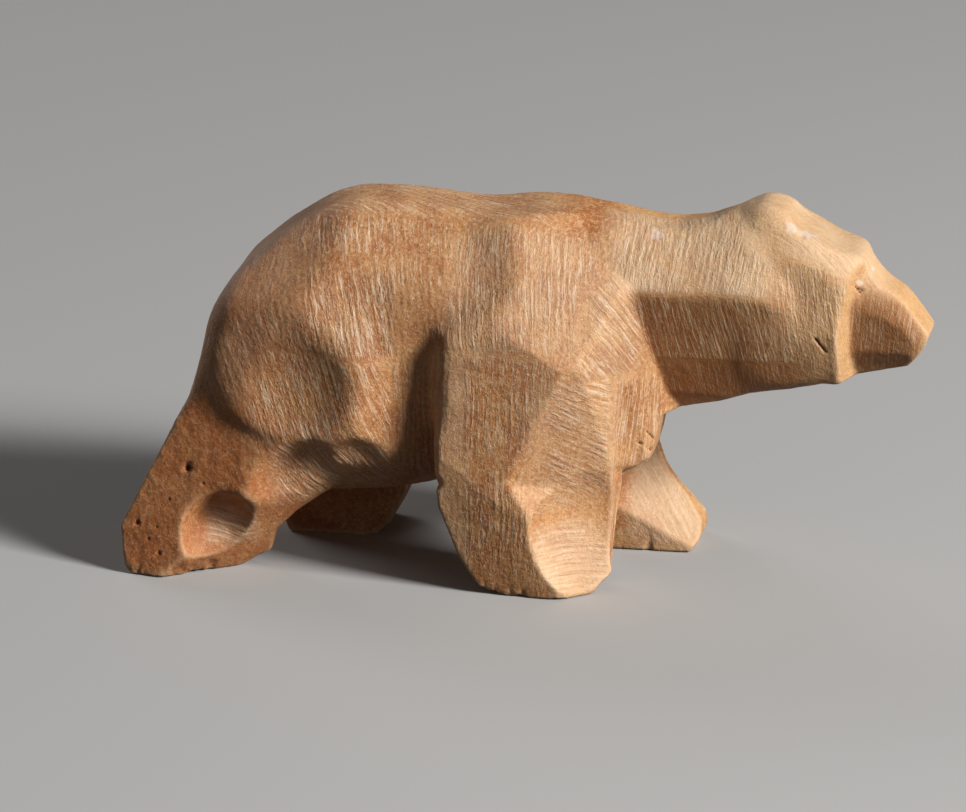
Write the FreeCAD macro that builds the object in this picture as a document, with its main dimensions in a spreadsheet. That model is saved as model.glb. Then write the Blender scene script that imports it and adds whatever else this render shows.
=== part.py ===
import FreeCAD, Part
import os
import Sketcher
from FreeCAD import Placement, Rotation, Vector

# A walking bear, 50 mm long, carved with a knife and files from one block of wood.
# X runs from the tail to the nose, Y to the bear's left, Z up; the feet stand on Z = 0.
# Each mass of the bear (haunch, barrel, shoulder, neck, head, muzzle) is a smooth form
# through oval sections, cut flat by knife planes and hollowed by gouges. The forms are
# kept inside the sawn outline of the block, and four sawn and cut legs join them.
# Every size is a cell of the sheet, in millimetres or degrees.

doc = FreeCAD.newDocument("carved_bear")
sheet = doc.addObject("Spreadsheet::Sheet", "sizes")
filled_cells = []

# Outline of the rump, back, head, throat, chest and belly from the side, as (X, Z) corners
BODY_OUTLINE = [
    (-20.9, 11.2), (-20.3, 13.0), (-19.6, 16.6), (-18.2, 18.8), (-15.5, 21.2), (-12.8, 23.0),
    (-10.9, 23.5), (-8.4, 23.6), (-2.0, 23.1), (0.8, 23.4), (3.0, 23.4),
    (5.6, 23.0), (7.8, 22.6), (9.4, 22.5), (11.3, 22.9), (13.2, 23.9),
    (14.8, 24.4), (16.0, 24.0), (16.8, 23.05), (19.2, 21.8), (20.7, 21.4),
    (21.3, 20.6), (22.1, 19.5), (23.35, 18.7), (25.0, 16.4), (24.7, 15.6),
    (23.7, 14.2), (19.2, 13.0), (12.6, 11.5), (8.4, 10.4), (7.8, 7.7),
    (5.0, 6.2), (-6.0, 5.4), (-12.0, 4.8), (-18.0, 7.0),
]

# The masses of the bear: upright oval sections, each its place along X, its top, its bottom
# and its half width, and the cuts that shape them
FORMS = {
    "haunch": (
        [(-21.2, 16.0, 8.0, 3.4), (-19.0, 19.9, 6.0, 6.4), (-15.0, 23.4, 4.6, 8.4),
         (-10.0, 24.2, 4.4, 8.7), (-6.0, 23.9, 5.2, 7.4), (-2.6, 22.8, 6.4, 6.0)],
        ["right_side", "left_side", "right_rump", "left_rump", "right_haunch", "left_haunch",
         "right_croup", "left_croup", "right_hip", "right_loin", "left_loin", "right_undercut",
         "left_undercut", "right_flank", "left_flank", "right_thigh", "right_belly",
         "right_waist", "left_waist"],
    ),
    "barrel": (
        [(-12.0, 24.0, 6.0, 6.6), (-4.0, 24.6, 5.6, 7.3), (3.0, 24.2, 5.8, 6.8)],
        ["right_waist", "left_waist", "right_croup", "left_croup"],
    ),
    "shoulder": (
        [(-6.4, 22.4, 7.5, 5.6), (-3.4, 23.6, 6.0, 7.0), (0.6, 24.2, 6.0, 8.5),
         (4.0, 23.8, 6.0, 8.1), (7.2, 23.2, 6.8, 6.0), (9.4, 22.2, 8.6, 4.2)],
        ["right_side", "left_side", "right_withers", "left_withers", "right_blade", "left_blade",
         "right_shoulder", "left_shoulder", "right_breast", "left_breast", "right_fore_back",
         "right_fore_front_high", "right_chest"],
    ),
    "neck": (
        [(3.0, 23.4, 8.0, 5.2), (7.0, 23.2, 9.6, 5.1), (11.0, 23.2, 10.8, 4.9),
         (15.0, 24.2, 12.0, 4.3), (17.5, 23.0, 13.0, 3.2)],
        ["right_neck", "left_neck", "right_under_neck", "left_under_neck"],
    ),
    "head": (
        [(12.8, 22.8, 13.0, 2.8), (14.8, 24.9, 11.8, 3.9), (17.0, 24.4, 12.0, 4.1),
         (19.4, 23.2, 12.4, 3.8), (21.6, 21.8, 13.2, 3.0)],
        ["right_cheek", "left_cheek", "right_jaw", "left_jaw", "right_mouth", "left_mouth",
         "right_under_neck", "left_under_neck"],
    ),
    "muzzle": (
        [(17.0, 22.5, 12.6, 2.2), (20.4, 21.8, 12.9, 2.3), (23.4, 19.6, 13.7, 2.15),
         (25.2, 17.8, 14.7, 1.4)],
        ["right_muzzle", "left_muzzle", "right_lip", "left_lip"],
    ),
}

# The legs: lower and upper limit along Y, outline from the side as (X, Z) corners, and cuts.
# A fore leg is two blocks that cross, so that its facets meet in a hollow crease.
LEGS = {
    "right_fore_leg": (-8.2, -2.9, [
        (-4.9, 9.5), (-4.6, 5.6), (-3.6, 3.0), (3.0, 3.0), (6.0, 6.0), (5.8, 8.5), (5.9, 12.0),
        (7.0, 16.0), (6.0, 21.0), (-1.6, 21.0), (-4.6, 18.0),
    ], ["right_fore_back", "right_fore_front_high", "right_fore_low", "right_withers",
        "right_blade", "right_shoulder", "right_breast", "right_chest", "right_instep"]),
    "right_fore_paw": (-8.2, -3.0, [
        (-4.9, 9.5), (-4.6, 5.6), (-3.4, 2.4), (-2.2, 0.5), (-0.6, 0.0), (4.8, 0.0),
        (5.8, 1.0), (6.7, 3.7), (6.4, 6.0), (5.9, 8.5), (5.6, 11.5), (-4.8, 11.5),
    ], ["right_fore_back", "right_fore_front_low", "right_foot", "right_fore_low",
        "right_chest", "right_instep"]),
    "right_hind_leg": (-8.2, -2.8, [
        (-20.8, 11.2), (-25.0, 3.05), (-24.7, 0.7), (-24.2, 0.0), (-17.8, 0.0), (-16.0, 0.9),
        (-15.6, 2.4), (-14.2, 3.8), (-11.5, 5.5), (-11.0, 9.0), (-14.0, 14.0), (-19.5, 15.0),
    ], ["right_hind_side", "right_shin", "right_heel", "right_thigh", "right_belly"]),
    "left_fore_leg": (2.9, 8.2, [
        (1.5, 6.0), (6.9, 5.8), (7.2, 9.0), (7.4, 14.0), (5.5, 20.0), (-2.0, 20.0), (0.0, 12.0),
    ], ["left_fore_back", "left_blade", "left_shoulder", "left_breast"]),
    "left_fore_paw": (3.0, 8.2, [
        (0.5, 10.0), (1.5, 6.0), (2.8, 2.0), (3.6, 0.0), (9.6, 0.0), (10.2, 0.8),
        (10.1, 1.7), (9.1, 3.0), (7.6, 4.6), (6.9, 5.8), (7.0, 9.0), (5.0, 10.0),
    ], ["left_fore_back", "left_fore_front", "left_instep", "left_inner"]),
    "left_hind_leg": (3.0, 8.2, [
        (-18.5, 12.0), (-18.0, 6.0), (-16.9, 2.0), (-16.2, 0.0), (-10.6, 0.0), (-9.6, 1.0),
        (-8.6, 3.2), (-8.2, 5.5), (-7.5, 9.0), (-8.0, 13.0), (-16.0, 15.0),
    ], ["left_hind_side"]),
}

# Knife planes: a point of the plane, and the way it faces as a turn from +X towards +Y and
# a tilt from straight up
KNIVES = {
    "right_side": (0.0, -8.2, 12.0, -90, 90),
    "left_side": (0.0, 8.2, 12.0, 90, 90),
    "right_rump": (-16.0, -4.0, 20.0, -118, 44),
    "left_rump": (-16.0, 4.0, 20.0, 120, 44),
    "right_croup": (-10.5, -6.2, 20.0, -86, 46),
    "left_croup": (-10.5, 6.2, 20.0, 86, 46),
    "right_haunch": (-12.0, -8.0, 15.9, -83, 67),
    "left_haunch": (-12.0, 8.0, 15.4, 83, 67),
    "right_hip": (-13.2, -8.1, 11.0, -104, 84),
    "right_loin": (-8.0, -7.7, 13.0, -66, 78),
    "left_loin": (-8.0, 7.7, 13.0, 66, 78),
    "right_undercut": (-11.0, -8.2, 9.4, -84, 140),
    "left_undercut": (-11.0, 8.2, 8.0, 84, 140),
    "right_withers": (0.4, -7.0, 19.7, -69, 45),
    "left_withers": (0.4, 7.0, 19.5, 72, 45),
    "right_blade": (-3.0, -8.2, 16.8, -110, 52),
    "left_blade": (-3.0, 8.2, 16.4, 110, 52),
    "right_shoulder": (-0.3, -8.2, 17.1, -74, 67),
    "left_shoulder": (-0.3, 8.2, 16.6, 74, 67),
    "right_breast": (5.0, -6.6, 15.0, -38, 94),
    "left_breast": (5.0, 6.8, 15.0, 40, 94),
    "right_fore_back": (-4.5, -8.2, 12.0, -150, 90),
    "right_fore_front_high": (1.1, -8.2, 10.5, -59.8, 103.7),
    "right_fore_front_low": (1.4, -8.2, 8.0, -49, 85),
    "right_foot": (3.9, -8.2, 1.3, -51.5, 67.7),
    "right_fore_low": (-1.0, -8.2, 6.5, -96, 98),
    "right_hind_side": (-19.0, -8.0, 1.5, -101, 79),
    "right_shin": (-16.6, -8.2, 6.2, -52, 122),
    "left_fore_back": (2.0, 8.2, 8.0, 128, 90),
    "left_fore_front": (8.2, 8.2, 3.5, 45, 75),
    "left_inner": (7.5, 3.0, 1.6, -60, 46),
    "left_hind_side": (-14.0, 8.1, 1.5, 96, 84),
    "right_neck": (11.0, -3.75, 17.2, -89, 114),
    "left_neck": (11.0, 3.75, 17.2, 89, 114),
    "right_under_neck": (11.5, -3.1, 13.8, -90, 132),
    "left_under_neck": (11.5, 3.1, 13.8, 90, 132),
    "right_muzzle": (22.0, -2.0, 16.5, -93, 104),
    "left_muzzle": (22.0, 2.0, 16.5, 93, 104),
    "right_lip": (22.0, -1.75, 15.3, -93, 124),
    "left_lip": (22.0, 1.75, 15.3, 93, 124),
    "right_cheek": (17.0, -3.45, 17.0, -88, 92),
    "left_cheek": (17.0, 3.45, 17.0, 88, 92),
    "right_jaw": (17.5, -3.25, 16.0, -88, 112),
    "left_jaw": (17.5, 3.25, 16.0, 88, 112),
    "right_mouth": (19.9, -2.6, 17.0, -28, 99),
    "left_mouth": (19.9, 2.6, 17.0, 28, 99),
}

# Gouge cuts: the middle of the tool's path, its turn and tilt, its radius and its length
GOUGES = {
    "right_waist": (-6.0, -10.6, 12.5, -37, 8, 4.0, 22.0),
    "left_waist": (-5.0, 10.9, 12.5, 90, 6, 4.0, 22.0),
    "right_chest": (8.4, -5.0, 8.0, -80.7, 11.5, 2.6, 22.0),
}

# Scoops: the middle of a round hollow and its radius
SCOOPS = {
    "right_flank": (-15.2, -18.9, 13.0, 12.0),
    "left_flank": (-13.6, 14.1, 12.4, 7.0),
    "right_thigh": (-12.8, -10.1, 5.6, 4.6),
    "right_belly": (-9.2, -10.0, 6.0, 4.5),
    "right_heel": (-18.3, -8.3, 3.1, 2.8),
    "right_instep": (7.0, -10.0, 4.6, 6.1),
    "left_instep": (10.4, 10.4, 4.4, 4.2),
}

WASTE = 60.0  # size of the waste beyond a knife plane, more than the whole bear


def cell(alias, value):
    """Put one size in the sheet and return the name by which expressions call it."""
    filled_cells.append(alias)
    row = len(filled_cells)
    sheet.set(f"A{row}", alias)
    sheet.set(f"B{row}", str(value))
    sheet.setAlias(f"B{row}", alias)
    return f"{sheet.Name}.{alias}"


def cells(name, sizes):
    """Put a group of named sizes in the sheet and return their names in expressions."""
    return [cell(f"{name}_{word}", value) for word, value in sizes.items()]


def side_outline(name, corners):
    """Closed sketch in the XZ plane, each corner held by two cells."""
    sketch = doc.addObject("Sketcher::SketchObject", f"{name}_outline")
    sketch.Placement = Placement(Vector(), Rotation(Vector(1, 0, 0), 90))
    count = len(corners)
    for number, (along, up) in enumerate(corners):
        end = corners[(number + 1) % count]
        sketch.addGeometry(Part.LineSegment(Vector(along, up, 0), Vector(*end, 0)))
    for number in range(count):
        after = (number + 1) % count
        sketch.addConstraint(Sketcher.Constraint("Coincident", number, 2, after, 1))
    for number, (along, up) in enumerate(corners):
        for word, kind, value in (("x", "DistanceX", along), ("z", "DistanceY", up)):
            held = sketch.addConstraint(Sketcher.Constraint(kind, -1, 1, number, 1, value))
            corner = f"corner_{word}_{number}_"
            sketch.renameConstraint(held, corner)
            sketch.setExpression(f"Constraints.{corner}", cell(f"{name}_{corner}", value))
    return sketch


def slab(name, low, high, corners):
    """The outline sawn through the block, from low to high along Y."""
    solid = doc.addObject("Part::Extrusion", f"{name}_slab")
    solid.Base = side_outline(name, corners)
    solid.DirMode = "Custom"
    solid.Dir = Vector(0, 1, 0)
    solid.Solid = True
    low_cell, high_cell = cells(name, {"low": low, "high": high})
    solid.setExpression("LengthFwd", high_cell)
    solid.setExpression("LengthRev", f"-{low_cell}")
    return solid


def rounded(name, sections):
    """Smooth solid through upright oval sections."""
    ovals = []
    for number, (along, top, bottom, half_width) in enumerate(sections):
        oval = doc.addObject("Part::Ellipse", f"{name}_oval_{number}")
        sizes = {"along": along, "top": top, "bottom": bottom, "half_width": half_width}
        at, high, low, half = cells(oval.Name, sizes)
        oval.setExpression("MajorRadius", f"({high} - {low}) / 2")
        oval.setExpression("MinorRadius", half)
        oval.setExpression(
            "Placement", f"placement(vector({at}; 0; ({high} + {low}) / 2); rotation(0; 90; 0))")
        ovals.append(oval)
    solid = doc.addObject("Part::Loft", f"{name}_round")
    solid.Sections = ovals
    solid.Solid = True
    return solid


def placed(name, sizes, shift):
    """Expression that puts a tool, moved by shift in its own axes, at its point and angles."""
    x, y, z, turn, tilt = cells(name, dict(zip(("x", "y", "z", "turn", "tilt"), sizes)))
    return (f"placement(vector({x}; {y}; {z}); rotation({turn}; {tilt}; 0))"
            f" * placement(vector({shift}); rotation(0; 0; 0))")


def knife(name, *plane):
    """Block of waste beyond one flat cut."""
    waste = doc.addObject("Part::Box", f"{name}_knife")
    waste.Length = waste.Width = waste.Height = WASTE
    waste.setExpression("Placement", placed(waste.Name, plane, f"-{WASTE / 2}; -{WASTE / 2}; 0"))
    return waste


def gouge(name, along, across, up, turn, tilt, radius, reach):
    """Round bar of waste taken out by a gouge or a round file."""
    waste = doc.addObject("Part::Cylinder", f"{name}_gouge")
    round_size, length = cells(waste.Name, {"radius": radius, "reach": reach})
    waste.setExpression("Radius", round_size)
    waste.setExpression("Height", length)
    place = placed(waste.Name, (along, across, up, turn, tilt), f"0; 0; -{length} / 2")
    waste.setExpression("Placement", place)
    return waste


def scoop(name, along, across, up, radius):
    """Ball of waste taken out with a spoon gouge."""
    waste = doc.addObject("Part::Sphere", f"{name}_scoop")
    sizes = {"x": along, "y": across, "z": up, "radius": radius}
    x, y, z, round_size = cells(waste.Name, sizes)
    waste.setExpression("Radius", round_size)
    waste.setExpression("Placement", f"placement(vector({x}; {y}; {z}); rotation(0; 0; 0))")
    return waste


def joined(name, pieces):
    """One solid from several that overlap."""
    if len(pieces) == 1:
        return pieces[0]
    solid = doc.addObject("Part::MultiFuse", name)
    solid.Shapes = pieces
    return solid


def carved(name, uncut, cuts):
    """What a set of named cuts leaves of a solid."""
    if not cuts:
        return uncut
    solid = doc.addObject("Part::Cut", name)
    solid.Base = uncut
    solid.Tool = joined(f"{name}_waste", [tools[cut] for cut in cuts])
    return solid


tools = {name: knife(name, *plane) for name, plane in KNIVES.items()}
tools.update({name: gouge(name, *sizes) for name, sizes in GOUGES.items()})
tools.update({name: scoop(name, *sizes) for name, sizes in SCOOPS.items()})

sawn = slab("body", -9.0, 9.0, BODY_OUTLINE)
masses = [carved(name, rounded(name, sections), cuts) for name, (sections, cuts) in FORMS.items()]
torso = doc.addObject("Part::Common", "torso")
torso.Base = joined("masses", masses)
torso.Tool = sawn
legs = [carved(name, slab(name, low, high, corners), cuts)
        for name, (low, high, corners, cuts) in LEGS.items()]
bear = joined("bear", [torso] + legs)
bear.Label = "carved_bear"
for item in doc.Objects:
    if hasattr(item, "Refine"):
        item.Refine = False  # merging the faces of crossing forms would break them
doc.recompute()

failed = [item.Name for item in doc.Objects if {"Invalid", "Error"} & set(item.State)]
if failed:
    raise RuntimeError(f"these objects failed: {failed}")
if bear.Shape.isNull() or not bear.Shape.isValid():
    raise RuntimeError("carved_bear has no valid shape")
print(bear.Label, "solids", len(bear.Shape.Solids), "volume", round(bear.Shape.Volume))

os.makedirs("parts", exist_ok=True)
bear.Shape.exportStep(f"parts/{bear.Label}.step")
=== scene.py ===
import math

import bpy
import numpy as np
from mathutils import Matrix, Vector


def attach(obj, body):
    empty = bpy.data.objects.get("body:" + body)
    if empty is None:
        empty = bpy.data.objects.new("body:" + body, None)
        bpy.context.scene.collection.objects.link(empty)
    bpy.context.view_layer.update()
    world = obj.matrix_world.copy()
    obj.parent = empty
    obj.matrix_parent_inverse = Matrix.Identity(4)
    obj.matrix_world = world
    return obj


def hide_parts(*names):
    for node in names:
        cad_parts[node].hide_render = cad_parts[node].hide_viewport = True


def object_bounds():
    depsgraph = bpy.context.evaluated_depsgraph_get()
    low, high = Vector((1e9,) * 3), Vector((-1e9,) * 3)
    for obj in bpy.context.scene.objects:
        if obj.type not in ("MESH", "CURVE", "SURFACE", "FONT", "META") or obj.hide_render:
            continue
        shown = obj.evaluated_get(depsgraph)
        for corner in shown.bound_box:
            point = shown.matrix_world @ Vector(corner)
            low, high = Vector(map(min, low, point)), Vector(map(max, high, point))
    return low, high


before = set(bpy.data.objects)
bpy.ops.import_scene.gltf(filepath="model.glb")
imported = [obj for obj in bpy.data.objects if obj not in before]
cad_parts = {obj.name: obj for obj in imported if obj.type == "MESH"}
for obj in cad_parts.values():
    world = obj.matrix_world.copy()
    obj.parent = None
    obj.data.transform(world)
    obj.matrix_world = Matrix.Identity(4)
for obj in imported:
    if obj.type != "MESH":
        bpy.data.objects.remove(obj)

import openvdb
from mathutils import Vector

# The carved bear as it looks: the CAD solid is taken into a volume, where its knife edges are
# worn round and small cuts are added, then meshed again, scored by the file, pitted and
# chipped, and given raw, dusty, honey-brown wood, with painted light and shade in its colour.
# Lengths are in millimetres until the mesh is written, in metres, in the CAD frame: X to the
# nose, Y to the bear's left, Z up.

MM = 0.001
SEED = 7
cad_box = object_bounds()
bear_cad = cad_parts["carved_bear"]


# ---------------------------------------------------------------- numbers and noise

def smooth(low, high, value):
    """0 below low, 1 above high, and an even S curve between. low may be above high."""
    part = np.clip((value - low) / (high - low), 0.0, 1.0)
    return part * part * (3.0 - 2.0 * part)


def unit(vector):
    """The direction of a vector."""
    vector = np.asarray(vector, float)
    return vector / np.linalg.norm(vector)


NOISE_SIDE = 64
noise_table = np.random.default_rng(SEED).uniform(-1.0, 1.0, (NOISE_SIDE,) * 3).astype(np.float32)


def noise(points, size, shift=0.0):
    """Smooth random field from -1 to 1 at the points, with lumps of about that size."""
    place = np.asarray(points, np.float64) / size + 17.3 + shift
    cell = np.floor(place).astype(int)
    part = place - cell
    part = part * part * (3.0 - 2.0 * part)
    total = 0.0
    for corner in np.ndindex(2, 2, 2):
        index = (cell + corner) % NOISE_SIDE
        weight = np.prod(np.where(np.array(corner, bool), part, 1.0 - part), axis=1)
        total = total + weight * noise_table[index[:, 0], index[:, 1], index[:, 2]]
    return total


def fractal(points, size, shift=0.0, octaves=3):
    """Noise with finer and weaker noise on it."""
    total = sum(noise(points, size / 2 ** n, shift + 9.1 * n) / 2 ** n for n in range(octaves))
    return total / 1.6


# ---------------------------------------------------------------- the volume

VOXEL = 0.1
MARGIN = 1.5  # clear space round the bear, in mm
BAND = 2.6    # how far from the surface the distance is kept, in mm

cad_mesh = bear_cad.data
cad_mesh.calc_loop_triangles()
cad_points = np.empty(len(cad_mesh.vertices) * 3, np.float32)
cad_mesh.vertices.foreach_get("co", cad_points)
cad_points = cad_points.reshape(-1, 3) / MM
cad_triangles = np.empty(len(cad_mesh.loop_triangles) * 3, np.int32)
cad_mesh.loop_triangles.foreach_get("vertices", cad_triangles)
cad_triangles = cad_triangles.reshape(-1, 3).astype(np.uint32)

solid = openvdb.FloatGrid.createLevelSetFromPolygons(
    cad_points, triangles=cad_triangles,
    transform=openvdb.createLinearTransform(voxelSize=VOXEL), halfWidth=BAND / VOXEL)
first = np.floor((cad_points.min(0) - MARGIN) / VOXEL).astype(int)
count = np.ceil((cad_points.max(0) + MARGIN) / VOXEL).astype(int) - first
field = np.zeros(tuple(count), np.float32)
solid.copyToArray(field, ijk=tuple(int(n) for n in first))

X = ((np.arange(count[0]) + first[0]) * VOXEL)[:, None, None].astype(np.float32)
Y = ((np.arange(count[1]) + first[1]) * VOXEL)[None, :, None].astype(np.float32)
Z = ((np.arange(count[2]) + first[2]) * VOXEL)[None, None, :].astype(np.float32)


def blurred(values, width):
    """The field averaged over a bell of that width, in mm, one axis at a time."""
    reach = int(math.ceil(2.6 * width / VOXEL))
    steps = np.arange(-reach, reach + 1)
    bell = np.exp(-0.5 * (steps * VOXEL / width) ** 2)
    bell = (bell / bell.sum()).astype(np.float32)
    for axis in range(3):
        padding = [(0, 0)] * 3
        padding[axis] = (reach, reach)
        padded = np.pad(values, padding, mode="edge")
        total = np.zeros_like(values)
        length = values.shape[axis]
        for step, weight in enumerate(bell):
            part = [slice(None)] * 3
            part[axis] = slice(step, step + length)
            total += weight * padded[tuple(part)]
        values = total
    return values


def sample(values, points):
    """The field at the points, from the eight grid values round each."""
    place = points / VOXEL - first
    cell = np.clip(np.floor(place).astype(int), 0, np.array(values.shape) - 2)
    part = place - cell
    total = 0.0
    for corner in np.ndindex(2, 2, 2):
        index = cell + corner
        weight = np.prod(np.where(np.array(corner, bool), part, 1.0 - part), axis=1)
        total = total + weight * values[index[:, 0], index[:, 1], index[:, 2]]
    return total


# Widths of the bell that wears each region, in mm: the legs and the neck keep crisp arrises,
# the thigh, the shoulder top and the crown are softer, and the haunch, the back and the jaw
# were filed round
WORN_LEGS = 0.11
WORN_TOP = 0.3
WORN_HAUNCH = 0.62

# Chips broken or cut out of the arrises: where, and how large, in mm
CHIPS = [
    ((-4.9, -8.1, 7.3), 0.62), ((-4.7, -7.0, 6.9), 0.55), ((-4.75, -8.3, 6.2), 0.3),
    ((4.6, -7.2, -0.15), 0.5), ((3.4, -8.0, -0.2), 0.42), ((-20.3, -8.3, -0.25), 0.55),
    ((-18.2, -8.0, -0.3), 0.6), ((-22.8, -8.1, -0.2), 0.45), ((8.4, -2.2, 8.1), 0.35),
    ((-17.0, -7.6, -0.1), 0.8), ((-16.0, -6.6, 0.6), 0.5),
    ((17.2, -2.6, 22.9), 0.3), ((21.0, -1.3, 21.5), 0.35),
]


def merged(values, tool, fillet):
    """The solid after a tool's shape is taken from it, with a small fillet at the rim."""
    near = np.maximum(fillet - np.abs(values - tool), 0.0) / fillet
    return np.maximum(values, tool) + near * near * fillet * 0.25


worn_top = blurred(field, WORN_TOP)
worn_haunch = blurred(field, WORN_HAUNCH)
field = blurred(field, WORN_LEGS)
on_top = smooth(16.5, 19.0, Z) * smooth(-12.0, -6.0, X) + 0 * Y
on_thigh = smooth(-4.8, -7.5, X) * smooth(-22.0, -17.0, X) * smooth(3.2, 5.0, Z) + 0 * Y
on_haunch = smooth(-2.8, -4.8, X) * smooth(9.4, 12.0, Z) + 0 * Y
on_back = smooth(3.0, -2.0, X) * smooth(15.0, 18.0, Z) + 0 * Y
on_cheek = smooth(12.0, 14.0, X) * smooth(19.4, 18.2, X) * smooth(19.0, 17.6, Z) + 0 * Y
field = field + (worn_top - field) * np.maximum(on_top, on_thigh)
field = field + (worn_haunch - field) * on_cheek
field = field + (worn_haunch - field) * np.maximum(on_haunch, on_back)
for (along, across, up), radius in CHIPS:
    far = np.sqrt((X - along) ** 2 + (Y - across) ** 2 + (Z - up) ** 2)
    field = merged(field, radius - far, 0.15)


# ---------------------------------------------------------------- the mesh

def meshed(values):
    """Points in mm and four-cornered faces where the field is zero."""
    grid = openvdb.FloatGrid(MARGIN)
    grid.copyFromArray(values)
    grid.transform = openvdb.createLinearTransform(voxelSize=VOXEL)
    points, quads = grid.convertToQuads(isovalue=0.0)
    return points.astype(np.float64) + first * VOXEL, quads.astype(int)


def normals_of(points, quads):
    """Outward direction at each point."""
    corners = points[quads]
    across = np.cross(corners[:, 2] - corners[:, 0], corners[:, 3] - corners[:, 1])
    total = np.zeros_like(points)
    for corner in range(4):
        np.add.at(total, quads[:, corner], across)
    lengths = np.linalg.norm(total, axis=1, keepdims=True)
    return total / np.maximum(lengths, 1e-12)


points, quads = meshed(field)
normals = normals_of(points, quads)
if np.mean(np.sum(normals * (points - points.mean(0)), axis=1)) < 0:
    quads = quads[:, ::-1]
    normals = -normals
print("bear mesh:", len(points), "points", len(quads), "faces")

edge_bend = sample(blurred(field, 0.35), points)
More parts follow.
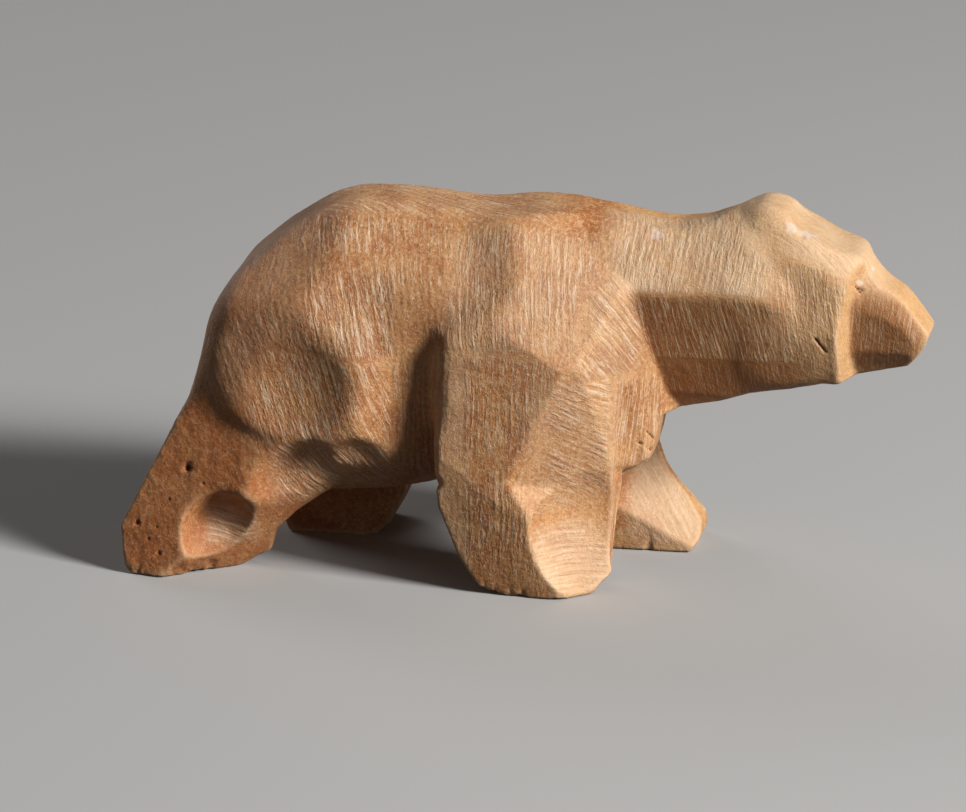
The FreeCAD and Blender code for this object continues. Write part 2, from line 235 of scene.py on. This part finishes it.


# ---------------------------------------------------------------- file marks

# Each stretch that one tool dressed: its centre and half size in mm, the way it faces, the
# direction across its marks, their pitch and depth in mm, how pale its dust and painted light
# are (painted shade, brown, if below 0) and how strongly the marks show
STROKES = [
    ("haunch", (-9.5, -6.0, 18.6), (7.5, 6.0, 6.0),
     (0.0, -0.8, 0.6), (0.97, 0.0, 0.24), 0.46, 0.0054, 0.2, 0.85),
    ("flank", (-12.0, -8.0, 12.2), (6.0, 3.0, 4.2),
     (0.0, -1.0, 0.0), (0.95, 0.0, 0.3), 0.44, 0.0048, 0.1, 0.8),
    ("thigh", (-11.5, -6.6, 6.9), (4.6, 3.5, 3.0),
     (0.2, -0.9, 0.0), (0.82, 0.0, 0.57), 0.44, 0.014, 0.25, 0.9),
    ("heel", (-17.9, -6.2, 3.6), (2.0, 2.0, 2.0),
     (0.3, -0.8, 0.3), (0.25, 0.0, 0.97), 0.36, 0.02, 0.9, 0.8),
    ("waist", (-6.0, -6.5, 13.5), (2.2, 3.5, 9.0),
     (0.4, -0.9, 0.0), (1.0, 0.1, 0.0), 0.42, 0.012, -0.2, 0.5),
    ("shoulder", (0.5, -6.4, 19.0), (6.5, 4.0, 5.0),
     (0.2, -0.7, 0.6), (1.0, 0.0, 0.12), 0.4, 0.0042, 0.5, 0.75),
    ("leg", (-0.8, -8.2, 9.2), (4.9, 1.4, 10.0),
     (0.0, -1.0, 0.0), (1.0, 0.0, -0.04), 0.4, 0.0042, 0.05, 0.6),
    ("leg_front", (3.6, -6.6, 10.0), (3.8, 3.0, 5.8),
     (0.7, -0.7, -0.1), (0.6, 0.0, 0.8), 0.42, 0.01, 0.5, 0.85),
    ("paw", (3.6, -6.6, 2.4), (2.9, 3.0, 2.7),
     (0.6, -0.6, 0.5), (0.1, 0.0, 0.99), 0.36, 0.012, 1.0, 0.65),
    ("breast", (5.6, -5.4, 17.0), (2.6, 3.5, 4.5),
     (0.8, -0.5, 0.3), (0.7, 0.3, 0.6), 0.36, 0.012, 0.5, 0.8),
    ("chest", (7.0, -3.6, 8.0), (2.2, 2.8, 8.0),
     (0.8, -0.6, 0.0), (0.6, 0.8, 0.0), 0.34, 0.014, 0.0, 0.8),
    ("neck", (11.4, -3.6, 16.4), (6.0, 2.4, 3.3),
     (0.0, -1.0, -0.4), (0.98, 0.0, 0.18), 0.31, 0.022, -0.5, 0.7),
    ("nape", (10.5, -2.5, 21.0), (6.5, 3.5, 3.6),
     (0.0, -0.6, 0.8), (0.95, 0.2, -0.25), 0.36, 0.014, 1.0, 0.75),
    ("cheek", (18.0, -3.4, 17.5), (3.0, 2.0, 4.5),
     (0.0, -1.0, 0.1), (1.0, 0.0, 0.1), 0.34, 0.016, 0.3, 0.75),
    ("muzzle", (22.4, -2.0, 16.2), (3.2, 1.6, 3.6),
     (0.0, -1.0, -0.1), (0.99, 0.0, -0.1), 0.34, 0.02, -0.7, 0.5),
    ("far_paw", (8.0, 4.0, 4.0), (3.0, 4.2, 4.4),
     (0.4, -0.9, 0.1), (0.8, 0.0, 0.6), 0.4, 0.008, 1.0, 0.3),
    ("crown", (17.5, -1.0, 21.5), (6.0, 4.0, 5.0),
     (0.3, -0.3, 0.9), (0.2, 0.98, 0.0), 0.3, 0.005, 0.85, 0.4),
    ("back", (-6.0, 0.0, 23.6), (10.0, 4.5, 1.8),
     (0.0, 0.0, 1.0), (0.5, 0.86, 0.0), 0.42, 0.0096, 0.3, 0.6),
    ("far_haunch", (-9.5, 6.0, 15.6), (7.5, 6.0, 9.0),
     (0.0, 0.9, 0.4), (0.97, 0.0, 0.24), 0.46, 0.012, 0.2, 0.85),
    ("far_shoulder", (1.5, 7.0, 13.6), (6.0, 5.0, 10.0),
     (0.2, 0.9, 0.2), (1.0, 0.0, 0.1), 0.42, 0.014, 0.3, 0.7),
    ("far_neck", (12.0, 3.6, 17.5), (7.0, 2.6, 4.5),
     (0.0, 1.0, 0.0), (0.98, 0.0, 0.18), 0.32, 0.018, 0.3, 0.85),
    ("far_muzzle", (21.4, 2.4, 16.6), (4.0, 2.0, 4.0),
     (0.0, 1.0, 0.0), (0.99, 0.0, 0.1), 0.34, 0.018, 0.2, 0.9),
    ("rump", (-16.0, -4.6, 16.6), (4.5, 5.0, 6.4),
     (-0.6, -0.6, 0.5), (0.8, -0.4, 0.4), 0.5, 0.004, 0.3, 0.4),
    ("throat", (12.0, -1.6, 13.2), (7.0, 3.6, 2.0),
     (0.0, -0.5, -0.86), (0.98, 0.0, 0.18), 0.31, 0.012, -0.8, 0.3),
    ("leg_rear", (-4.3, -8.2, 9.4), (2.2, 1.6, 9.5),
     (-0.3, -1.0, 0.0), (1.0, 0.0, -0.04), 0.4, 0.004, 0.5, 0.35),
    ("far_leg", (4.5, 8.0, 5.0), (5.5, 3.0, 6.5),
     (0.0, 1.0, 0.1), (1.0, 0.0, 0.1), 0.42, 0.006, 0.2, 0.6),
    ("far_hind", (-13.5, 6.5, 4.5), (6.5, 4.0, 6.0),
     (0.0, 1.0, 0.0), (0.97, 0.0, 0.24), 0.46, 0.006, 0.1, 0.5),
    ("tail", (-20.5, 0.0, 12.5), (5.0, 8.5, 9.5),
     (-1.0, 0.0, 0.4), (0.0, 1.0, 0.0), 0.44, 0.006, 0.1, 0.5),
]

SOFT_SHARE = 0.45   # share of a stretch's half size over which its marks fade out
CUT_PITCH = 0.38    # marks at least this far apart are cut in the mesh; finer ones are only bump

best = np.zeros(len(points))
second = np.zeros(len(points))
marks = np.zeros((len(points), 3))
dust_and_painted_light = np.zeros(len(points))
painted_shade = np.zeros(len(points))
relief = np.zeros(len(points))
shown = np.zeros(len(points))
drift = fractal(points, 3.2, 5.0) * 0.14 + noise(points, 0.7, 6.0) * 0.035
patchy = np.clip(0.75 + 0.9 * fractal(points, 2.4, 11.0), 0.1, 1.3)
for number, stroke in enumerate(STROKES):
    name, centre, half, facing, across, pitch, depth, pale_dust_and_light, strength = stroke
    away = np.abs((points - centre) / np.asarray(half))
    inside = np.prod(smooth(1.0, 1.0 - SOFT_SHARE, away), axis=1)
    turned = smooth(0.4, 0.8, normals @ unit(facing))
    weight = inside * turned
    across = unit(across)
    along = unit(np.cross(across, unit(facing)))
    phase = points @ across + drift
    if pitch >= CUT_PITCH:
        cut = patchy * depth * np.sin(2 * math.pi * phase / pitch)
        relief += cut * np.clip(weight * 2 - np.maximum(best, second) * 1.5, 0, 1) * weight
    # pale dust, partly painted light that lifts dim facets and the tops of the head and neck
    dust_and_painted_light = np.maximum(dust_and_painted_light, np.clip(weight * pale_dust_and_light * (0.4 + 0.6 * patchy), 0.0, 1.0))
    # painted shade on the neck side, throat, muzzle side and waist, from strokes whose value is below 0
    painted_shade = np.maximum(painted_shade, -weight * pale_dust_and_light)
    better = weight > best
    second = np.where(better, best, np.maximum(second, weight))
    best = np.where(better, weight, best)
    shown = np.where(better, strength, shown)
    spot = np.stack([phase / pitch, points @ along, np.full(len(points), number * 7.0)], axis=1)
    marks = np.where(better[:, None], spot, marks)

marked = best * smooth(0.0, 0.3, best - second) * np.clip(patchy * 1.3, 0.0, 1.0) * shown
plain = best < 0.02
marks[plain] = points[plain] * 2.2

# Pits and holes: where, how wide and how deep, in mm
PITS = [
    ((-20.9, -7.6, 7.2), 0.24, 0.35), ((-19.6, -7.4, 6.2), 0.1, 0.12), ((-24.0, -7.6, 3.4), 0.15, 0.2),
    ((-22.7, -7.6, 3.3), 0.08, 0.1), ((-23.2, -7.6, 2.5), 0.11, 0.12), ((-22.4, -7.6, 1.6), 0.14, 0.16),
    ((-21.9, -7.6, 5.1), 0.07, 0.09), ((20.3, -1.8, 19.3), 0.12, 0.14), ((20.6, -1.8, 19.15), 0.09, 0.12),
    ((9.2, 3.4, 5.0), 0.14, 0.14), ((24.4, -0.6, 17.6), 0.09, 0.1),
]

# Cracks: from where to where, how wide and how deep, in mm
CRACKS = [
    ((18.1, -3.3, 16.3), (18.8, -3.2, 15.4), 0.06, 0.12),
    ((7.7, -2.6, 9.6), (8.2, -2.1, 9.0), 0.06, 0.12),
    ((7.3, -3.0, 8.9), (8.1, -2.1, 8.2), 0.08, 0.16),
    ((20.0, -2.0, 19.65), (20.7, -1.7, 19.2), 0.06, 0.1),
]

# Pale spots, painted glints on the brow and the nape and pale crystals by the pits: where and how wide,
# in mm
SPOTS = [
    ((16.4, -2.3, 22.9), 0.42), ((17.4, -2.1, 22.5), 0.5), ((8.2, -2.4, 22.3), 0.45),
    ((20.2, -1.9, 19.8), 0.3), ((-20.6, -7.5, 7.4), 0.16), ((21.3, -1.0, 20.4), 0.3),
]


def nearest(place):
    """The point of the mesh nearest to a place."""
    return points[np.linalg.norm(points - place, axis=1).argmin()]


pitted = np.zeros(len(points))
glint_and_crystal_spots = np.zeros(len(points))
for centre, width in SPOTS:
    mouth = nearest(centre)
    far = np.linalg.norm(points - mouth, axis=1) + fractal(points, 0.45, 13.0) * width * 1.1
    glint_and_crystal_spots = np.maximum(glint_and_crystal_spots, smooth(width * 1.2, width * 0.6, far))
for centre, width, depth in PITS:
    mouth = nearest(centre)
    far = np.linalg.norm(points - mouth, axis=1) + fractal(points, 0.2, 15.0) * width * 0.7
    bowl = np.exp(-(far / width) ** 2)
    relief -= bowl * depth
    pitted = np.maximum(pitted, bowl)
for start, end, width, depth in CRACKS:
    start = nearest(start)
    end = nearest(end)
    step = end - start
    part = np.clip((points - start) @ step / (step @ step), 0.0, 1.0)
    off = np.linalg.norm(points - start - part[:, None] * step, axis=1)
    bowl = np.exp(-((off + fractal(points, 0.3, 16.0) * width * 0.9) / width) ** 2)
    relief -= bowl * depth
    pitted = np.maximum(pitted, bowl)

# Granular skin all over, coarser on the hind leg, slow unevenness, and ragged edges round the
# soles: heights in mm
SKIN = 0.02
HIND_SKIN = 0.025
UNEVEN = 0.06
RAGGED = 0.28
hind = smooth(-12.0, -19.0, points[:, 0]) * smooth(13.0, 9.0, points[:, 2])
relief += fractal(points, 0.5, 2.0) * (SKIN + HIND_SKIN * hind)
relief += fractal(points, 3.0, 3.0) * UNEVEN
ragged = smooth(1.3, 0.2, points[:, 2]) * smooth(0.35, 0.0, normals[:, 2])
relief -= ragged * np.maximum(fractal(points * (1.0, 1.0, 0.35), 0.8, 8.0), 0.0) * RAGGED
points = points + normals * relief[:, None]


# ---------------------------------------------------------------- writing the piece

low = np.array(cad_box[0]) / MM
high = np.array(cad_box[1]) / MM
points = np.clip(points, low, high)

mesh = bpy.data.meshes.new("bear")
mesh.from_pydata((points * MM).tolist(), [], quads.tolist())
mesh.shade_smooth()
held_values = {"edge_bend": edge_bend, "marked": marked,
               "dust_and_painted_light": dust_and_painted_light, "pitted": pitted, "glint_and_crystal_spots": glint_and_crystal_spots,
               "painted_shade": painted_shade, "hind": hind}
for name, values in held_values.items():
    held = mesh.attributes.new(name, "FLOAT", "POINT")
    held.data.foreach_set("value", values.astype(np.float32))
held = mesh.attributes.new("marks", "FLOAT_VECTOR", "POINT")
held.data.foreach_set("vector", marks.astype(np.float32).ravel())
bear = bpy.data.objects.new("bear", mesh)
bpy.context.scene.collection.objects.link(bear)
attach(bear, "root")
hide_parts("carved_bear")


# ---------------------------------------------------------------- the wood

class Nodes:
    """Short ways to make a material's nodes."""

    def __init__(self, material):
        material.use_nodes = True
        self.tree = material.node_tree
        self.shader = self.tree.nodes["Principled BSDF"]

    def feed(self, socket, value):
        if isinstance(value, bpy.types.NodeSocket):
            self.tree.links.new(value, socket)
        else:
            socket.default_value = value

    def attribute(self, name, output="Fac"):
        node = self.tree.nodes.new("ShaderNodeAttribute")
        node.attribute_name = name
        return node.outputs[output]

    def maths(self, operation, *values):
        node = self.tree.nodes.new("ShaderNodeMath")
        node.operation = operation
        for socket, value in zip(node.inputs, values):
            self.feed(socket, value)
        return node.outputs[0]

    def scaled(self, vector, scale):
        node = self.tree.nodes.new("ShaderNodeVectorMath")
        node.operation = "MULTIPLY"
        self.feed(node.inputs[0], vector)
        node.inputs[1].default_value = scale
        return node.outputs[0]

    def noise(self, vector, scale, detail=2.0, roughness=0.5):
        node = self.tree.nodes.new("ShaderNodeTexNoise")
        self.feed(node.inputs["Vector"], vector)
        node.inputs["Scale"].default_value = scale
        node.inputs["Detail"].default_value = detail
        node.inputs["Roughness"].default_value = roughness
        return node.outputs["Fac"]

    def between(self, value, low, high, to_low=0.0, to_high=1.0):
        node = self.tree.nodes.new("ShaderNodeMapRange")
        node.interpolation_type = "SMOOTHSTEP"
        self.feed(node.inputs["Value"], value)
        for name, number in (("From Min", low), ("From Max", high),
                             ("To Min", to_low), ("To Max", to_high)):
            node.inputs[name].default_value = number
        return node.outputs[0]

    def mixed(self, share, first_colour, second_colour):
        node = self.tree.nodes.new("ShaderNodeMix")
        node.data_type = "RGBA"
        self.feed(node.inputs["Factor"], share)
        colours = [socket for socket in node.inputs if socket.type == "RGBA"]
        self.feed(colours[0], first_colour)
        self.feed(colours[1], second_colour)
        return next(socket for socket in node.outputs if socket.type == "RGBA")


def shade(red, green, blue):
    """A colour from its display values, 0 to 255."""
    return tuple((part / 255.0) ** 2.2 for part in (red, green, blue)) + (1.0,)


# The wood's colours, painted light and shade among them
WOOD = {
    "honey_dark": shade(178, 112, 64),
    "honey": shade(204, 146, 92),
    "grain_pale": shade(228, 192, 152),
    "grain_dark": shade(146, 86, 44),
    "speck_pale": shade(244, 220, 194),
    "speck_dark": shade(140, 82, 44),
    "tail_red": shade(170, 100, 58),
    "nose_pale": shade(228, 188, 136),
    # pale dust and painted light
    "pale_dust_and_light": shade(234, 204, 168),
    # painted shade
    "painted_shade": shade(150, 92, 46),
    "ridge": shade(240, 214, 184),
    "furrow": shade(150, 90, 50),
    # brown for the streaks along the marks, and painted shade in the hollows
    "hollow": shade(150, 96, 58),
    # painted highlight on the convex edges
    "painted_edge_highlight": shade(226, 190, 150),
    # painted glints and pale crystals
    "glint_and_crystal": shade(228, 210, 196),
    "pit": shade(92, 44, 26),
}

# Sizes of the mottling, the grain and the specks, and height of one step of bump
MOTTLE = 2.6 * MM
GRAIN = 0.26 * MM
SPECK = 0.12 * MM
BUMP = 0.014 * MM


def carved_wood():
    """Raw wood, honey brown, mottled, dusted pale along the file marks, redder behind; with painted light
    and shade.
    """
    material = bpy.data.materials.new("carved_wood")
    n = Nodes(material)
    place = n.tree.nodes.new("ShaderNodeTexCoord").outputs["Object"]
    split = n.tree.nodes.new("ShaderNodeSeparateXYZ")
    n.feed(split.inputs[0], place)
    along = n.maths("DIVIDE", split.outputs["X"], MM)

    mottle = n.noise(place, 1 / MOTTLE, 3.0, 0.6)
    grain = n.noise(place, 1 / GRAIN, 4.0, 0.7)
    base = n.mixed(n.between(mottle, 0.36, 0.62), WOOD["honey_dark"], WOOD["honey"])
    base = n.mixed(n.between(grain, 0.5, 0.66, 0.0, 0.6), base, WOOD["grain_pale"])
    base = n.mixed(n.between(grain, 0.47, 0.34, 0.0, 0.65), base, WOOD["grain_dark"])

    speck = n.noise(place, 1 / SPECK, 2.0, 0.6)
    base = n.mixed(n.between(speck, 0.62, 0.72, 0.0, 0.8), base, WOOD["speck_pale"])
    base = n.mixed(n.between(speck, 0.4, 0.3, 0.0, 0.4), base, WOOD["speck_dark"])

    warp = n.maths("MULTIPLY_ADD", mottle, 8.0, along)
    red = n.between(warp, -5.0, -14.0, 0.0, 0.5)
    base = n.mixed(red, base, WOOD["tail_red"])
    pale = n.between(warp, 6.0, 22.0, 0.0, 0.5)
    base = n.mixed(pale, base, WOOD["nose_pale"])
    # pale dust, partly painted light on dim facets and the tops of the head and neck
    dust_and_painted_light = n.attribute("dust_and_painted_light")
    base = n.mixed(n.maths("MULTIPLY", dust_and_painted_light, 0.6), base, WOOD["pale_dust_and_light"])
    # painted shade on the neck side, throat, muzzle side and waist
    base = n.mixed(n.attribute("painted_shade"), base, WOOD["painted_shade"])

    marks = n.attribute("marks", "Vector")
    marked = n.attribute("marked")
    cross = n.tree.nodes.new("ShaderNodeSeparateXYZ")
    n.feed(cross.inputs[0], marks)
    sway = n.noise(n.scaled(marks, (0.7, 0.12, 1.0)), 1.0, 2.0, 0.5)
    phase = n.maths("MULTIPLY_ADD", sway, 2.2, cross.outputs["X"])
    wave = n.maths("SINE", n.maths("MULTIPLY", phase, 2 * math.pi))
    thread = n.noise(n.scaled(marks, (2.7, 0.34, 1.0)), 1.0, 3.0, 0.65)
    broken = n.noise(n.scaled(marks, (1.0, 0.8, 1.0)), 1.5, 3.0, 0.7)
    streak = n.noise(n.scaled(marks, (1.0, 0.16, 1.0)), 1.7, 2.0, 0.6)
    ridge = n.maths("MULTIPLY", n.between(wave, 0.25, 1.0), n.between(broken, 0.44, 0.62))
    ridge = n.maths("MAXIMUM", n.maths("MULTIPLY", ridge, 0.8), n.between(thread, 0.53, 0.62))
    ridge = n.maths("MULTIPLY", ridge, marked)
    base = n.mixed(n.maths("MULTIPLY", ridge, 0.82), base, WOOD["ridge"])
    furrow = n.maths("MAXIMUM", n.between(thread, 0.45, 0.34), n.between(wave, -0.4, -1.0, 0.0, 0.5))
    furrow = n.maths("MULTIPLY", furrow, marked)
    base = n.mixed(n.maths("MULTIPLY", furrow, 0.65), base, WOOD["furrow"])
    valley = n.maths("MULTIPLY", n.between(streak, 0.5, 0.3), marked)
    base = n.mixed(n.maths("MULTIPLY", valley, 0.4), base, WOOD["hollow"])

    bend = n.attribute("edge_bend")
    # painted highlight along the convex edges, then painted shade in the hollows
    base = n.mixed(n.between(bend, 0.04, 0.14, 0.0, 0.4), base, WOOD["painted_edge_highlight"])
    base = n.mixed(n.between(bend, -0.02, -0.12, 0.0, 0.3), base, WOOD["hollow"])
    # painted glints on the brow and the nape, pale crystals by the pits
    base = n.mixed(n.maths("MULTIPLY", n.attribute("glint_and_crystal_spots"), 0.6), base, WOOD["glint_and_crystal"])
    base = n.mixed(n.between(n.attribute("pitted"), 0.2, 0.7, 0.0, 0.85), base, WOOD["pit"])

    n.feed(n.shader.inputs["Base Color"], base)
    n.feed(n.shader.inputs["Roughness"], n.between(grain, 0.3, 0.7, 0.5, 0.68))
    height = n.maths("MULTIPLY_ADD", wave, 0.5, n.maths("MULTIPLY", thread, 5.0))
    height = n.maths("MULTIPLY", n.maths("MULTIPLY", height, n.between(broken, 0.34, 0.6)), marked)
    height = n.maths("ADD", height, n.maths("MULTIPLY", grain, 4.5))
    height = n.maths("ADD", height, n.maths("MULTIPLY", speck, 1.5))
    bump = n.tree.nodes.new("ShaderNodeBump")
    bump.inputs["Strength"].default_value = 1.0
    bump.inputs["Distance"].default_value = BUMP
    n.feed(bump.inputs["Height"], height)
    n.feed(n.shader.inputs["Normal"], bump.outputs["Normal"])
    n.shader.inputs["Subsurface Weight"].default_value = 0.25
    n.shader.inputs["Subsurface Radius"].default_value = (1.0, 0.45, 0.2)
    n.shader.inputs["Subsurface Scale"].default_value = 0.28 * MM
    n.shader.inputs["Specular IOR Level"].default_value = 0.4
    return material


mesh.materials.append(carved_wood())


# ---------------------------------------------------------------- floor, light and camera

def stage_floor():
    """Plain pale floor, wide enough to fill every view."""
    side = 3.0
    corners = [(-side, -side, 0), (side, -side, 0), (side, side, 0), (-side, side, 0)]
    sheet = bpy.data.meshes.new("floor")
    sheet.from_pydata(corners, [], [(0, 1, 2, 3)])
    floor = bpy.data.objects.new("floor", sheet)
    bpy.context.scene.collection.objects.link(floor)
    material = bpy.data.materials.new("floor_paper")
    material.use_nodes = True
    shader = material.node_tree.nodes["Principled BSDF"]
    shader.inputs["Base Color"].default_value = (0.50, 0.50, 0.50, 1.0)
    shader.inputs["Roughness"].default_value = 0.9
    sheet.materials.append(material)
    floor.visible_diffuse = False  # it casts no glow on the bear's shaded side


def soft_light(name, towards, distance, size, power, colour):
    """Square lamp in a direction from the bear, pointing at it."""
    lamp = bpy.data.lights.new(name, "AREA")
    lamp.size = size
    lamp.energy = power
    lamp.color = colour
    holder = bpy.data.objects.new(name, lamp)
    direction = Vector(towards).normalized()
    holder.location = aim + direction * distance
    holder.rotation_euler = (-direction).to_track_quat("-Z", "Y").to_euler()
    bpy.context.scene.collection.objects.link(holder)


WARM_WHITE = (1.0, 0.98, 0.95)
COOL_WHITE = (0.95, 0.97, 1.0)
aim = Vector((-3.1, 0.0, 9.95)) * MM
stage_floor()
soft_light("key", towards=(0.80, -0.36, 0.48), distance=0.60, size=0.15, power=5.2, colour=WARM_WHITE)
soft_light("fill", towards=(-0.5, -0.8, 0.5), distance=0.80, size=0.60, power=0.12, colour=COOL_WHITE)
soft_light("rear", towards=(-0.75, 0.60, 0.40), distance=0.70, size=0.35, power=1.1, colour=WARM_WHITE)
world = bpy.data.worlds.new("studio")
world.use_nodes = True
world.node_tree.nodes["Background"].inputs["Color"].default_value = COOL_WHITE + (1.0,)
world.node_tree.nodes["Background"].inputs["Strength"].default_value = 0.035
bpy.context.scene.world = world
bpy.context.scene.view_settings.view_transform = "Standard"

AZIMUTH, ELEVATION = math.radians(10.0), math.radians(17.0)
DISTANCE = 0.42
SEEN_WIDTH = 60.4 * MM
camera = bpy.data.cameras.new("camera")
camera.sensor_width = 36.0
camera.lens = camera.sensor_width * DISTANCE / SEEN_WIDTH
camera.clip_start, camera.clip_end = 0.01, 20.0
eye = bpy.data.objects.new("camera", camera)
back = Vector((math.sin(AZIMUTH) * math.cos(ELEVATION),
               -math.cos(AZIMUTH) * math.cos(ELEVATION), math.sin(ELEVATION)))
eye.location = aim + back * DISTANCE
eye.rotation_euler = (-back).to_track_quat("-Z", "Y").to_euler()
bpy.context.scene.collection.objects.link(eye)
bpy.context.scene.camera = eye
